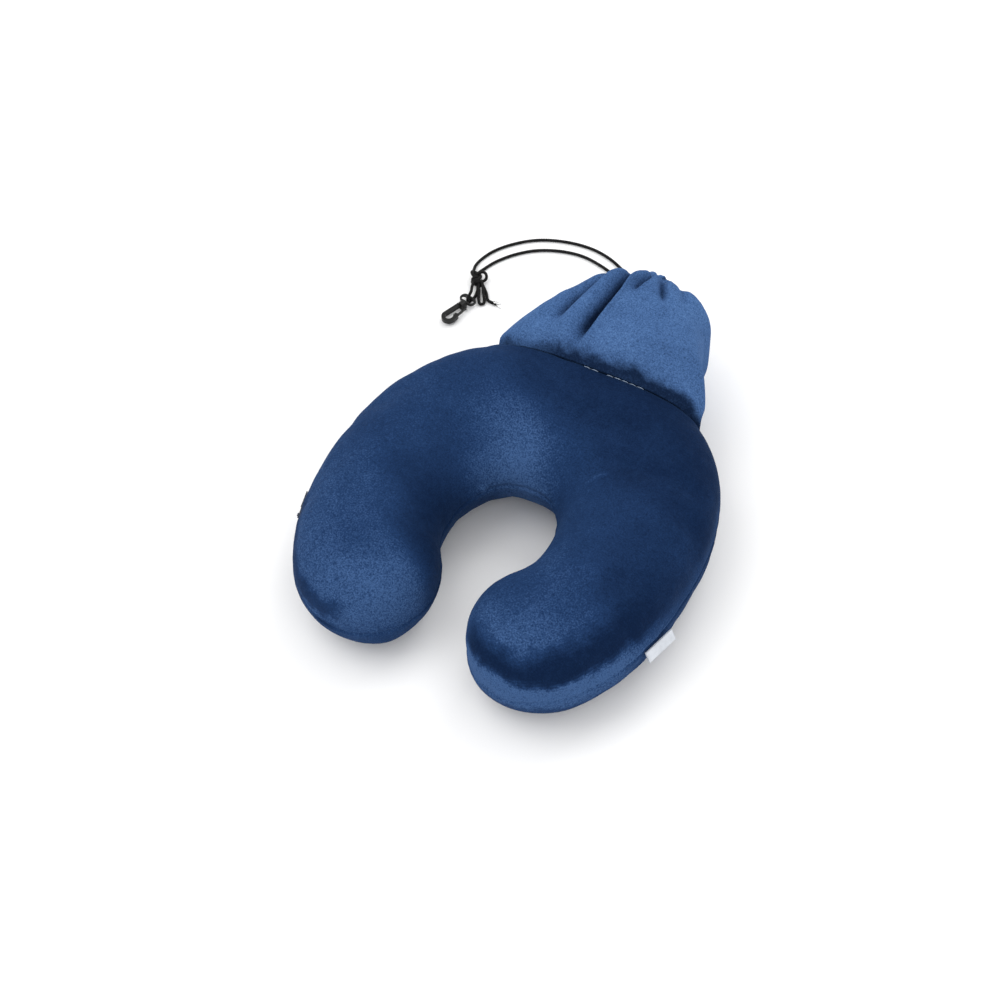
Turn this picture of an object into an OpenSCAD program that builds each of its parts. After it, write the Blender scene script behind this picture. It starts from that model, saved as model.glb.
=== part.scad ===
// U shaped travel neck pillow: a moulded foam core in a velour cover, with a drawstring pouch sewn along
// its back and a swivel snap hook tied to the drawstring. Millimetres, +Z up, the pillow lies on z = 0.
// X runs across the pillow, the lobes point along -Y and the pouch lies along +Y.

/* [Pillow] */
// Half distance between the centre lines of the two sides
spine_x = 95; // [90:1:100]
// From the neck centre to the centre line at the back
spine_back = 109; // [104:1:114]
// From the neck centre to where the centre line would close in front
spine_front = 108; // [104:1:112]
// Squareness of the back of the U: 2 is an ellipse
spine_square = 2.5; // [2:0.1:2.8]
// How far each lobe curls round from the back, in degrees
curl = 134; // [126:1:138]
// Width outside the centre line, at the back and on the lobes
outer_back = 63; // [58:1:66]
outer_lobe = 54; // [50:1:58]
// Width inside the centre line, at the back and on the lobes
inner_back = 66; // [60:1:68]
inner_lobe = 56; // [50:1:58]
// Height at the back and on the lobes
height_back = 87; // [82:1:90]
height_lobe = 90; // [86:1:96]
// Height of the seam that joins the top and bottom covers
seam_z = 46; // [43:1:48]

/* [Cover] */
// Thickness of the velour cover
cover_t = 2; // [1.5:0.1:2.5]
// Thickness of the inner liner
liner_t = 0.8; // [0.6:0.1:1.2]
// Clearance between one layer and the next
layer_gap = 0.5; // [0.3:0.1:0.6]

/* [Pouch] */
// From the neck centre back to the seam of the pouch
pouch_seam_y = 147; // [145:1:149]
// Thickness of the pouch fabric
pouch_t = 1.6; // [1.4:0.1:2]
// Radius of the gathered mouth, inside the hem
mouth_r = 14; // [13:0.5:15]
// Thickness of the hem, and its length
hem_t = 8; // [7:0.5:9]
hem_l = 10; // [9:0.5:11]

/* [Cord and hook] */
// Diameter of the drawstring
cord_d = 2.5; // [2:0.1:2.8]
// Width of the hook across its nose
hook_w = 12.4; // [12:0.1:13]
// Length of the hook from its collar to its nose
hook_l = 25; // [24:0.5:26]
// Thickness of the hook
hook_t = 3.4; // [3:0.1:3.8]

/* [Zip] */
// Length of the zip as an angle about the centre of its arc
zip_angle = 31; // [26:1:32]
// Width of the meshed teeth
teeth_w = 4.4; // [4:0.1:4.8]

/* [Hidden] */

neck = [0, -62, 0];            // the centre of the neck space
rings = 34;                    // sections round each U surface, without the rounded ends
end_rings = 5;                 // sections on each rounded lobe end
half_seg = 12;                 // steps along half a section
round_out = 0.88;              // roundness of a section's upper half, across its width
round_up = 0.75;               // roundness of a section's upper half, over its height
round_out_low = 1.12;          // the same for the lower half, which tucks in more
round_up_low = 0.92;
lobe_from = 0.75;              // share of the curl over which the back turns into a lobe
neck_slope = 0.19;             // how far the top falls towards the neck at the back
neck_round = 6;                // how much the corners of the neck space are filled in
end_len = 0.525;               // length of a rounded end as a share of the lobe's width
end_drop = 0.65;               // how soon a rounded end loses its height
front_square = 2.2;            // squareness of the front of the U
base_flat = 3;                 // how much the underside is flattened where the pillow lies

// ---------- general functions ----------
function signed_pow(v, p) = sign(v) * pow(abs(v), p);
function clamp(v) = min(1, max(0, v));
// Catmull-Rom curve through a list of numbers or points, at t from 0 to the last index
function curve(p, t) =
    let (last = len(p) - 1, i = min(last - 1, floor(t)), f = t - i,
         a = p[max(0, i - 1)], b = p[i], c = p[i + 1], d = p[min(last, i + 2)])
    0.5 * ((2 * b) + (c - a) * f + (2 * a - 5 * b + 4 * c - d) * f * f
        + (3 * b - a - 3 * c + d) * f * f * f);
// Side faces between successive loops of m points each, which run anticlockwise seen from the last loop
function side_faces(loops, m) = [
    for (i = [0 : loops - 2], j = [0 : m - 1])
        let (k = (j + 1) % m)
        each [[i * m + k, i * m + j, (i + 1) * m + k], [(i + 1) * m + k, i * m + j, (i + 1) * m + j]]
];
function flat(lists) = [for (l = lists, p = l) p];

// A closed solid through loops of points, with flat ends
module loft(loops) {
    m = len(loops[0]);
    n = len(loops);
    polyhedron(
        points = flat(loops),
        faces = concat(
            side_faces(n, m),
            [[for (j = [0 : m - 1]) j]],
            [[for (j = [m - 1 : -1 : 0]) (n - 1) * m + j]]
        ),
        convexity = 8
    );
}

// Half a shell: each loop is the outer half section followed by the inner one, run back.
// closed_ends fills the two ends as a domed shell, and otherwise the shell is left open there.
module half_shell(loops, closed_ends) {
    m = len(loops[0]);
    h = m / 2;
    n = len(loops);
    e = (n - 1) * m;
    first = closed_ends
        ? [[for (j = [0 : h - 1]) j], [for (j = [h : m - 1]) j], [m - 1, 0, h - 1, h]]
        : [for (j = [0 : h - 2]) each [[j, j + 1, m - 1 - j], [m - 1 - j, j + 1, m - 2 - j]]];
    last = closed_ends
        ? [[for (j = [h - 1 : -1 : 0]) e + j], [for (j = [m - 1 : -1 : h]) e + j],
            [e + h, e + h - 1, e, e + m - 1]]
        : [for (j = [0 : h - 2])
            each [[e + j + 1, e + j, e + m - 1 - j], [e + m - 2 - j, e + j + 1, e + m - 1 - j]]];
    polyhedron(points = flat(loops), faces = concat(side_faces(n, m), first, last), convexity = 10);
}

// A round cord through hand-chosen points, with a ring every 1/per of a point
module cord(points, d, per) {
    n = (len(points) - 1) * per;
    path = [for (i = [0 : n]) curve(points, i / per)];
    loft([for (i = [0 : n]) cord_ring(path, i, d / 2)]);
}
function cord_ring(path, i, r, sides = 8) =
    let (along = path[min(len(path) - 1, i + 1)] - path[max(0, i - 1)],
         t = along / norm(along),
         side = cross(abs(t[2]) > 0.9 ? [1, 0, 0] : [0, 0, 1], t),
         u = side / norm(side),
         v = cross(t, u))
    [for (k = [0 : sides - 1]) path[i] + r * (cos(360 * k / sides) * u + sin(360 * k / sides) * v)];

// ---------- the U surface ----------
function spine_r(a) =
    let (n = cos(a) > 0 ? spine_square : front_square, y = cos(a) > 0 ? spine_back : spine_front)
    pow(pow(abs(sin(a)) / spine_x, n) + pow(abs(cos(a)) / y, n), -1 / n);
// 0 at the back and 1 on the lobes
function lobe(a) = (1 - cos(180 * clamp(abs(a) / curl / lobe_from))) / 2;
function outer_w(a) = outer_back + (outer_lobe - outer_back) * lobe(a);
function inner_w(a) = inner_back + (inner_lobe - inner_back) * lobe(a)
    + (abs(a) < 90 ? neck_round * pow(sin(2 * a), 2) : 0);
function top_z(a) = height_back + (height_lobe - height_back) * lobe(a);

// A point of the surface at curl angle a and section angle f, where f = 0 is the outer seam and
// 90 the top. e runs from 0 to 90 over a rounded end, and inset moves the surface inwards.
function u_point(a, f, e, inset) =
    let (below = sin(f) < 0,
            c = signed_pow(cos(f), below ? round_out_low : round_out),
            s = signed_pow(sin(f), below ? round_up_low : round_up),
         small = max(0.02, cos(e)), low = pow(small, end_drop),
         across = (c > 0 ? outer_w(a) - inset : inner_w(a) - inset) * c * small,
         up = top_z(a) - seam_z - inset,
         fall = neck_slope * (1 - lobe(a)) * top_z(a) * pow((1 - c) / 2, 1.5) * sqrt(max(0, s)),
         down = s * (seam_z + base_flat - inset),
         z = max(inset, seam_z + low * (s > 0 ? s * up - fall : down)),
         past = sign(a) * sin(e) * ((outer_w(a) + inner_w(a)) * end_len - inset),
         r = spine_r(a) + across)
    neck + [sin(a) * r + cos(a) * past, cos(a) * r - sin(a) * past, z];

// [curl angle, end angle] of every section, from the left lobe's tip to the right one's
STATIONS = concat(
    [for (i = [end_rings : -1 : 1]) [-curl, 90 * i / end_rings]],
    [for (i = [0 : rings]) [-curl + 2 * curl * i / rings, 0]],
    [for (i = [1 : end_rings]) [curl, 90 * i / end_rings]]
);
function u_section(st, from, to, inset) =
    [for (k = [0 : half_seg]) u_point(st[0], from + (to - from) * k / half_seg, st[1], inset)];

module u_solid(inset) {
    loft([for (st = STATIONS) concat(
        u_section(st, 0, 180, inset),
        [for (k = [1 : half_seg - 1]) u_point(st[0], 180 + 180 * k / half_seg, st[1], inset)]
    )]);
}
module u_half(from, to, inset, t) {
    half_shell([for (st = STATIONS) concat(
        u_section(st, from, to, inset), u_section(st, to, from, inset + t)
    )], closed_ends = true);
}

// ---------- pillow ----------
liner_in = cover_t + layer_gap;
core_in = liner_in + liner_t + layer_gap;

module foam_core() color("ivory") difference() {
    u_solid(core_in);
    zip_channel();
}
module foam_liner() color("white") difference() {
    u_solid(liner_in);
    u_solid(liner_in + liner_t);
    zip_channel();
}
module cover_top() color("midnightblue") difference() {
    u_half(0, 180, 0, cover_t);
    zip_channel();
}
module cover_bottom() color("midnightblue") difference() {
    u_half(180, 360, 0, cover_t);
    zip_channel();
}

// ---------- labels: folded loops of tape sewn into the seam ----------
module seam_label(angle, width, reach, droop, t, gap) {
    edge = spine_r(angle) + outer_w(angle) + t / 2 * sin(droop) + gap;
    translate(neck) rotate([0, 0, 90 - angle]) translate([edge, 0, seam_z])
        rotate([0, droop, 0]) translate([0, -width / 2, -t / 2]) difference() {
            cube([reach, width, t]);
            translate([-1, -1, t / 2 - 0.1]) cube([reach, width + 2, 0.2]);
        }
}
module side_label() color("lightsteelblue") seam_label(104, 28, 9, 66, 1.4, 0.3);
module care_label() color("white") seam_label(-50, 18, 8, 60, 1.0, 1.1);

// ---------- zip in the left side of the seam ----------
zip_centre = neck + [95, 7, 0];        // centre of the arc that the zip follows
zip_r = 245;                           // radius of that arc at the face of the cover
zip_from = 180 - zip_angle / 2;        // direction of the zip's back end, from +X
channel_h = 15;                        // height and depth of the gap in the seam that holds the zip
channel_depth = 5;
tape_t = 0.6;
tape_w = 6.8;
teeth_t = 1.6;
teeth_out = zip_r - 1.4;               // outer face of the teeth
tape_out = teeth_out - teeth_t - 0.02; // outer face of the tapes

// Part of a ring about the zip's centre: radii, heights above the seam, and angles
module zip_ring(r0, r1, z0, z1, from, to) {
    translate(zip_centre + [0, 0, seam_z]) rotate([0, 0, from])
        rotate_extrude(angle = to - from, $fn = 180) translate([r0, z0]) square([r1 - r0, z1 - z0]);
}
module zip_channel() {
    zip_ring(zip_r - channel_depth, zip_r + 20, -channel_h / 2, channel_h / 2,
        zip_from - 1, zip_from + zip_angle + 1);
}
module zip_tape_upper() color("navy")
    zip_ring(tape_out - tape_t, tape_out, 0.1, tape_w, zip_from - 0.6, zip_from + zip_angle + 0.6);
module zip_tape_lower() color("navy")
    zip_ring(tape_out - tape_t, tape_out, -tape_w, -0.1, zip_from - 0.6, zip_from + zip_angle + 0.6);
module zip_teeth_upper() color("darkslateblue")
    zip_ring(teeth_out - teeth_t, teeth_out, 0.05, teeth_w / 2, zip_from, zip_from + zip_angle);
module zip_teeth_lower() color("darkslateblue")
    zip_ring(teeth_out - teeth_t, teeth_out, -teeth_w / 2, -0.05, zip_from, zip_from + zip_angle);
module zip_end_stops() color("darkslateblue")
    for (from = [zip_from - 0.35, zip_from + zip_angle + 0.05])
        zip_ring(teeth_out - teeth_t, teeth_out + 0.5, -2.6, 2.6, from, from + 0.3);

// The slider wraps the teeth from outside, and rests at the front end, with the zip closed
slider_angle = 2;
slider_from = zip_from + zip_angle - slider_angle - 0.1;
slider_r = zip_r + 0.2;
lug_t = 0.8;
lug_gap = 1.5;
module zip_slider() color("dimgray") {
    to = slider_from + slider_angle;
    difference() {
        zip_ring(teeth_out - 1.3, slider_r, -3.4, 3.4, slider_from, to);
        zip_ring(teeth_out - 9, teeth_out + 0.3, -teeth_w / 2 - 0.35, teeth_w / 2 + 0.35,
            slider_from - 1, to + 1);
    }
    for (z = [-lug_gap / 2 - lug_t, lug_gap / 2])
        zip_ring(slider_r - 0.1, slider_r + 2.2, z, z + lug_t, slider_from + 0.7, slider_from + 1.3);
}
// The pull turns on a pin between the slider's two lugs, and lies back along the closed zip
pull_pos = zip_centre + [0, 0, seam_z] + (slider_r + 1.2) * [cos(slider_from + 1), sin(slider_from + 1), 0];
module zip_pull() color("dimgray") translate(pull_pos) rotate([0, 0, slider_from + 1]) {
    cylinder(r = 0.6, h = lug_gap - 0.1, center = true, $fn = 32);
    difference() {
        union() {
            translate([-0.4, -8, -0.6]) cube([0.8, 8, 1.2]);
            translate([-0.4, -22, -2.4]) cube([0.8, 15, 4.8]);
        }
        translate([-1, -19, -1]) cube([2, 7, 2]);
    }
}

// ---------- pouch ----------
// Height of the pillow's surface where the pouch is sewn on, at angle a from the back
function seam_f(a) = acos(pow(clamp((pouch_seam_y / cos(a) - spine_r(a)) / outer_w(a)), 1 / round_out));
function seam_point(a, lift) = u_point(a, seam_f(a), 0, 0) + [0, 0, lift];
seam_end = 30;                         // angle at which the pouch's seam ends

// The bag's middle section: [y, z] of its top and its underside, and its half width
POUCH_TOP = [[149, 84.5], [158, 94], [176, 101], [200, 103], [222, 101], [236, 94], [240, 86]];
POUCH_LOW = [[149.5, 82.5], [162, 77], [172, 66], [177, 34], [190, 2], [222, 0], [239, 42]];
POUCH_HALF = [84, 82, 77, 71, 65, 54, mouth_r + hem_t + 1];
pouch_lean = [0, 5, 7, 6, 3, 0, 4];    // how far the bag's middle lies to the right
pouch_rings = 18;
mouth = [4, 240, 64];                  // centre of the hem's front face, from the neck centre

function pouch_point(t, f, inset) =
    let (top = curve(POUCH_TOP, t), low = curve(POUCH_LOW, t),
         mid = (top + low) / 2, up = (top - low) / 2,
         full = curve(POUCH_HALF, t), half = full - inset,
         high = max(0.3, norm(up) - inset) / norm(up),
         c = signed_pow(cos(f), 0.8), s = signed_pow(sin(f), 0.8),
         sewn = clamp(1 - t / 2.5),
         side = seam_point(seam_end * c * half / full, 0)[2] - seam_point(0, 0)[2])
    neck + [half * c + curve(pouch_lean, t), mid[0] + up[0] * high * s,
        max(inset, mid[1] + up[1] * high * s + side * sewn)];
module pouch_half(from, to) {
    last = len(POUCH_TOP) - 1;
    half_shell([for (i = [0 : pouch_rings]) let (t = last * i / pouch_rings) concat(
        [for (k = [0 : 16]) pouch_point(t, from + (to - from) * k / 16, 0)],
        [for (k = [16 : -1 : 0]) pouch_point(t, from + (to - from) * k / 16, pouch_t)]
    )], closed_ends = false);
}
module pouch_upper() color("steelblue") pouch_half(180, 0);
module pouch_lower() color("steelblue") pouch_half(360, 180);

// The gathered hem, a ring round the mouth with a tunnel for the drawstring, which leaves it by a gap
tunnel_r = mouth_r + hem_t / 2;
exit_a = 158;                          // direction of the gap, turning from +X down and round to -X
exit_gap = 26;
module hem_ring(gap) translate(neck + mouth) rotate([-90, 0, 0]) rotate([0, 0, exit_a + gap / 2])
    rotate_extrude(angle = 360 - gap, $fn = 72) children();
module pouch_hem() color("steelblue") hem_ring(exit_gap) difference() {
    translate([mouth_r, 0.4]) square([hem_t, hem_l]);
    translate([tunnel_r, hem_l / 2 + 0.4]) circle(d = cord_d + 1.4, $fn = 24);
}
module drawstring_in_hem() color("black") hem_ring(exit_gap + 6)
    translate([tunnel_r, hem_l / 2 + 0.4]) circle(d = cord_d, $fn = 24);

// Seam tape that joins the pouch to the top cover
module pouch_binding() color("navy") {
    loft([for (i = [0 : 24]) let (a = seam_end * (i / 12 - 1), p = seam_point(a, 0.8)) [
        p + [0, -2, 0.8], p + [0, 0, 0], p + [0, 1.3, 0.4], p + [0, 1.3, 2.2], p + [0, -1.5, 2.2]
    ]]);
}
module pouch_stitching() color("lightsteelblue") {
    for (i = [-8 : 8]) {
        p = seam_point(seam_end * 0.9 * i / 8, 3.6);
        q = seam_point(seam_end * 0.9 * (i + 0.55) / 8, 3.6);
        if (i < 8) loft([cord_ring([p, q], 0, 0.35, 6), cord_ring([p, q], 1, 0.35, 6)]);
    }
}

// ---------- drawstring ----------
floor_z = 1.5;                         // height of the cord's middle where it lies on the floor
OUTER_RUN = [
    [-13.8, 183.4, 61.2], [-15, 185.5, 58.8], [-16.5, 190.5, 57], [-19, 195, 48], [-23, 201, 33],
    [-27, 208, 18], [-31, 217, 6], [-38, 229, floor_z], [-49, 242, floor_z], [-62, 252, floor_z],
    [-80, 260, floor_z], [-100, 263, floor_z], [-122, 260, floor_z], [-142, 252, floor_z],
    [-158, 239, floor_z], [-169, 224, floor_z], [-174, 208, floor_z], [-172, 196, 3]
];
INNER_RUN = [
    [-10.7, 183.4, 53.7], [-12.2, 185.5, 54.8], [-13, 190.5, 53.5], [-14.5, 194.5, 46], [-16.5, 199, 33],
    [-19.5, 205, 17], [-26, 213, 5], [-36, 222, floor_z], [-49, 234, floor_z], [-64, 243, floor_z],
    [-81, 249, floor_z], [-100, 252, floor_z], [-119, 249, floor_z], [-137, 241, floor_z],
    [-151, 229, floor_z], [-161, 215, floor_z], [-166, 203, floor_z], [-167, 196, 3]
];
// The bight runs from the knot over the eye's end bar, back through the eye and under the bar
BIGHT = [[-164, 184, 6], [-162, 177, 8], [-159.5, 171, 8.6], [-159, 167, 8.2], [-159.4, 164.6, 6],
    [-159.4, 164.4, 4], [-159.2, 164.9, 2.1], [-158.4, 168, 1.5], [-157.5, 173, 1.5], [-158.5, 179, 2.6],
    [-161, 184, 4.5]];
TAIL = [[-158, 186, 4], [-151, 180, 2.5], [-146, 174, floor_z], [-141, 173, floor_z]];
module drawstring_outer_run() color("black") cord(OUTER_RUN, cord_d, 2);
module drawstring_inner_run() color("black") cord(INNER_RUN, cord_d, 2);
// An overhand knot: one turn of a trefoil curve
knot_at = [-164, 190, 5.6];
module cord_knot() color("black") {
    ring_count = 36;
    path = [for (i = [0 : ring_count]) let (a = 12 + 336 * i / ring_count)
        knot_at + [2.35 * (sin(a) + 2 * sin(2 * a)), 2.35 * (cos(a) - 2 * cos(2 * a)), -2.3 * sin(3 * a)]];
    loft([for (i = [0 : ring_count]) cord_ring(path, i, cord_d / 2)]);
}
module cord_bight() color("black") cord(BIGHT, cord_d, 2);
module cord_tail() color("black") cord(TAIL, cord_d, 2);

// ---------- swivel snap hook ----------
hook_at = [-160.5, 160, 4];            // the swivel, where the pin meets the collar
hook_yaw = -101;                       // direction of the hook from the swivel
module at_hook() translate(hook_at) rotate([0, 0, hook_yaw]) children();
eye_t = 2.2;
pin_r = 1.4;
pin_clear = 0.06;
collar_l = 4;
bar = 3;                               // width of the hook's bars
tip_l = 4;                             // how far its tip comes back from the nose
nose_r = hook_w / 2;
nose_x = hook_l - nose_r;

module swivel_eye() color("black") at_hook() {
    difference() {
        translate([-9, 0, -eye_t / 2]) {
            for (x = [3.6, 4.4], y = [-3.6, 3.6]) translate([x, y, 0])
                cylinder(r = 3.6, h = eye_t, $fn = 48);
            translate([0, -3.6, 0]) cube([8, 7.2, eye_t]);
        }
        // the slot for the cord
        translate([-6.6, -4.2, -5]) cube([4, 8.4, 10]);
        for (y = [-4.2, 4.2]) translate([-4.6, y, -5]) cylinder(r = 2, h = 10, $fn = 32);
    }
    // the pin and its head, held in the hook's collar
    translate([-2, 0, 0]) rotate([0, 90, 0]) cylinder(r = pin_r, h = 4, $fn = 48);
    translate([2, 0, 0]) rotate([0, 90, 0]) cylinder(r = pin_r + 0.7, h = 1.2, $fn = 48);
}
module snap_hook() color("black") at_hook() {
    difference() {
        translate([0.3, 0, 0]) rotate([0, 90, 0]) cylinder(r = 3.5, h = collar_l, $fn = 48);
        rotate([0, 90, 0]) cylinder(r = pin_r + pin_clear, h = 3, $fn = 48);
        translate([1.7, 0, 0]) rotate([0, 90, 0]) cylinder(r = pin_r + 0.7 + 0.2, h = 2, $fn = 48);
    }
    translate([0, 0, -hook_t / 2]) linear_extrude(hook_t) {
        // spine
        polygon([[collar_l - 0.5, -3.4], [nose_x, -nose_r], [nose_x, -nose_r + bar], [collar_l - 0.5, -0.2]]);
        // nose
        translate([nose_x, 0]) difference() {
            circle(r = nose_r, $fn = 64);
            circle(r = nose_r - bar, $fn = 64);
            translate([-2 * nose_r, -nose_r]) square([2 * nose_r, 2 * nose_r]);
        }
        // hooked tip
        translate([nose_x - tip_l, nose_r - bar]) square([tip_l + 0.01, bar]);
        translate([nose_x - tip_l, nose_r - bar / 2]) circle(r = bar / 2, $fn = 32);
    }
}
// The gate is a thin tongue: straight, then stepped in so that its end closes behind the tip
gate_pivot = [collar_l - 0.5, 4.6];
gate_step = [nose_x - tip_l - 2.6, 4.4];
gate_low = [nose_x - tip_l - 1.6, 2.3];
gate_end = [nose_x - tip_l + 0.6, 2.3];
module gate_bar(a, b) hull() {
    translate(a) circle(r = 0.55, $fn = 24);
    translate(b) circle(r = 0.55, $fn = 24);
}
module hook_gate() color("black") at_hook() translate([0, 0, -1.1]) linear_extrude(2.2) {
    translate(gate_pivot) circle(r = 1, $fn = 32);
    gate_bar(gate_pivot, gate_step);
    gate_bar(gate_step, gate_low);
    gate_bar(gate_low, gate_end);
}

foam_core();
foam_liner();
cover_top();
cover_bottom();
side_label();
care_label();
zip_tape_upper();
zip_tape_lower();
zip_teeth_upper();
zip_teeth_lower();
zip_end_stops();
zip_slider();
zip_pull();
pouch_binding();
pouch_stitching();
pouch_upper();
pouch_lower();
pouch_hem();
drawstring_in_hem();
drawstring_outer_run();
drawstring_inner_run();
cord_knot();
cord_bight();
cord_tail();
swivel_eye();
snap_hook();
hook_gate();
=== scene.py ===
import math

import bpy
import numpy as np
from mathutils import Matrix, Vector
from mathutils.bvhtree import BVHTree
from mathutils.kdtree import KDTree


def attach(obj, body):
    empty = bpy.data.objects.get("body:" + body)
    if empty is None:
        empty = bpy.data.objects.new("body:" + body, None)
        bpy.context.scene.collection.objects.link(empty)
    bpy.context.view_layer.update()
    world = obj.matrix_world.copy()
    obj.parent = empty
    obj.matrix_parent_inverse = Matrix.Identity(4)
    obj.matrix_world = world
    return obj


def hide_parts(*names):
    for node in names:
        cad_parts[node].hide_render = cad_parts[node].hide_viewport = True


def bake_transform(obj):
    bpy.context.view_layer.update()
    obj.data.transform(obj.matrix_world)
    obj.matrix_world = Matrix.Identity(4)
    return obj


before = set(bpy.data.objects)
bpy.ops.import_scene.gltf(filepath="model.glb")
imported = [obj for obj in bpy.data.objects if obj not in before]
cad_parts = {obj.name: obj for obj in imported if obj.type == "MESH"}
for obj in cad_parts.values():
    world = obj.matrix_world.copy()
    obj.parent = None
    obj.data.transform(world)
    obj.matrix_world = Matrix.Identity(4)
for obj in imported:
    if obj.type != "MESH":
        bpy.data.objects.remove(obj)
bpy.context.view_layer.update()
MM = 0.001
scene = bpy.context.scene

# ---------- camera ----------
# The camera stands in front and to the right, above the pillow, with a long lens
CAMERA_AZ, CAMERA_EL, CAMERA_ROLL = (math.radians(v) for v in (32.374, 51.862, -4.543))
CAMERA_AIM = Vector((0, -0.062, 0.040))
CAMERA_DISTANCE = 1.8972
CAMERA_LENS, CAMERA_SHIFT = 92.34, (-0.003, 0.0373)


def make_camera():
    back = Vector((
        math.sin(CAMERA_AZ) * math.cos(CAMERA_EL),
        -math.cos(CAMERA_AZ) * math.cos(CAMERA_EL),
        math.sin(CAMERA_EL),
    ))
    right = Vector((math.cos(CAMERA_AZ), math.sin(CAMERA_AZ), 0))
    up = back.cross(right)
    r2 = math.cos(CAMERA_ROLL) * right + math.sin(CAMERA_ROLL) * up
    u2 = -math.sin(CAMERA_ROLL) * right + math.cos(CAMERA_ROLL) * up
    data = bpy.data.cameras.new("camera")
    data.lens, data.sensor_width = CAMERA_LENS, 36
    data.shift_x, data.shift_y = CAMERA_SHIFT
    data.clip_start, data.clip_end = 0.05, 30
    camera = bpy.data.objects.new("camera", data)
    place = CAMERA_AIM + back * CAMERA_DISTANCE
    camera.matrix_world = Matrix((
        (r2.x, u2.x, back.x, place.x),
        (r2.y, u2.y, back.y, place.y),
        (r2.z, u2.z, back.z, place.z),
        (0, 0, 0, 1),
    ))
    scene.collection.objects.link(camera)
    scene.camera = camera


# ---------- general helpers ----------
def mesh_object(name, points, faces, smooth=True):
    """A mesh object from points in millimetres."""
    mesh = bpy.data.meshes.new(name)
    mesh.from_pydata((np.asarray(points, float) * MM).tolist(), [], [list(f) for f in faces])
    mesh.validate()
    mesh.update()
    mesh.polygons.foreach_set("use_smooth", [smooth] * len(mesh.polygons))
    o = bpy.data.objects.new(name, mesh)
    scene.collection.objects.link(o)
    return o


def grid_faces(rows, cols, closed=True, first=0):
    """Quads between successive rows of cols points."""
    last = cols if closed else cols - 1
    return [
        (first + r * cols + c, first + r * cols + (c + 1) % cols,
         first + (r + 1) * cols + (c + 1) % cols, first + (r + 1) * cols + c)
        for r in range(rows - 1) for c in range(last)
    ]


def end_caps(count, around):
    """The two faces that close the ends of a grid of count points, with around points to a ring."""
    return [list(range(around))[::-1], list(range(count - around, count))]


def coords(o):
    co = np.empty(len(o.data.vertices) * 3)
    o.data.vertices.foreach_get("co", co)
    return co.reshape(-1, 3) / MM


def set_coords(o, points):
    o.data.vertices.foreach_set("co", (np.asarray(points) * MM).ravel())
    o.data.update()


def normals(o):
    n = np.empty(len(o.data.vertices) * 3)
    o.data.vertex_normals.foreach_get("vector", n)
    return n.reshape(-1, 3)


def set_attribute(o, name, values):
    a = o.data.attributes.new(name, "FLOAT", "POINT")
    a.data.foreach_set("value", np.asarray(values, np.float32))


def apply_modifiers(o):
    """Leaves the evaluated mesh on the object, and no modifier."""
    evaluated = o.evaluated_get(bpy.context.evaluated_depsgraph_get())
    mesh = bpy.data.meshes.new_from_object(evaluated)
    o.modifiers.clear()
    old, o.data = o.data, mesh
    bpy.data.meshes.remove(old)


def subdivide(o, levels):
    m = o.modifiers.new("Subdivision", "SUBSURF")
    m.levels = m.render_levels = levels
    apply_modifiers(o)


def lattice_noise(p, size, seed):
    """Smooth noise from -1 to 1 over points in millimetres, with features about size apart."""
    q = np.asarray(p) / size
    i = np.floor(q).astype(np.int64)
    f = q - i
    f = f * f * (3 - 2 * f)
    total = np.zeros(len(q))
    for dx in (0, 1):
        for dy in (0, 1):
            for dz in (0, 1):
                n = (i[:, 0] + dx) * 73856093 ^ (i[:, 1] + dy) * 19349663 ^ (i[:, 2] + dz) * 83492791
                n = (n ^ seed * 374761393) & 0xFFFFFFFF
                n = ((n ^ (n >> 13)) * 1274126177) & 0xFFFFFFFF
                n = (n ^ (n >> 16)) & 0xFFFF
                w = (f[:, 0] if dx else 1 - f[:, 0]) * (f[:, 1] if dy else 1 - f[:, 1])
                w = w * (f[:, 2] if dz else 1 - f[:, 2])
                total += w * (n / 32767.5 - 1)
    return total


def bump(x, centre, width):
    return np.exp(-((x - centre) / width) ** 2)


def step(x, low, high):
    t = np.clip((x - low) / (high - low), 0, 1)
    return t * t * (3 - 2 * t)


def catmull(points, t):
    """Catmull-Rom curve through points, at t from 0 to the last index."""
    p = np.asarray(points, float)
    t = np.asarray(t, float)
    i = np.clip(np.floor(t).astype(int), 0, len(p) - 2)
    f = (t - i).reshape(-1, *[1] * (p.ndim - 1))
    a, b, c, d = p[np.maximum(i - 1, 0)], p[i], p[i + 1], p[np.minimum(i + 2, len(p) - 1)]
    return 0.5 * (2 * b + (c - a) * f + (2 * a - 5 * b + 4 * c - d) * f**2
                  + (3 * b - a - 3 * c + d) * f**3)


def spaced(line, step_mm):
    """Points every step_mm along a polyline."""
    run = np.concatenate([[0], np.cumsum(np.linalg.norm(np.diff(line, axis=0), axis=1))])
    s = np.linspace(0, run[-1], max(2, round(run[-1] / step_mm) + 1))
    return np.stack([np.interp(s, run, line[:, k]) for k in range(3)], 1)


def tube_mesh(line, ring_radius, sides):
    """Rings round a line. ring_radius(angle, distance) gives each point's distance from it."""
    along = np.gradient(line, axis=0)
    along /= np.linalg.norm(along, axis=1)[:, None]
    run = np.concatenate([[0], np.cumsum(np.linalg.norm(np.diff(line, axis=0), axis=1))])
    side = np.cross((0, 0, 1) if abs(along[0][2]) < 0.9 else (1, 0, 0), along[0])
    angle = np.arange(sides) * 2 * math.pi / sides
    points = []
    for p, t, s in zip(line, along, run):
        side = side - t * (side @ t)
        side /= np.linalg.norm(side)
        other = np.cross(t, side)
        r = ring_radius(angle, s)[:, None]
        points.append(p + r * (np.cos(angle)[:, None] * side + np.sin(angle)[:, None] * other))
    points = np.concatenate(points)
    return points, grid_faces(len(line), sides) + end_caps(len(points), sides)


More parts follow.
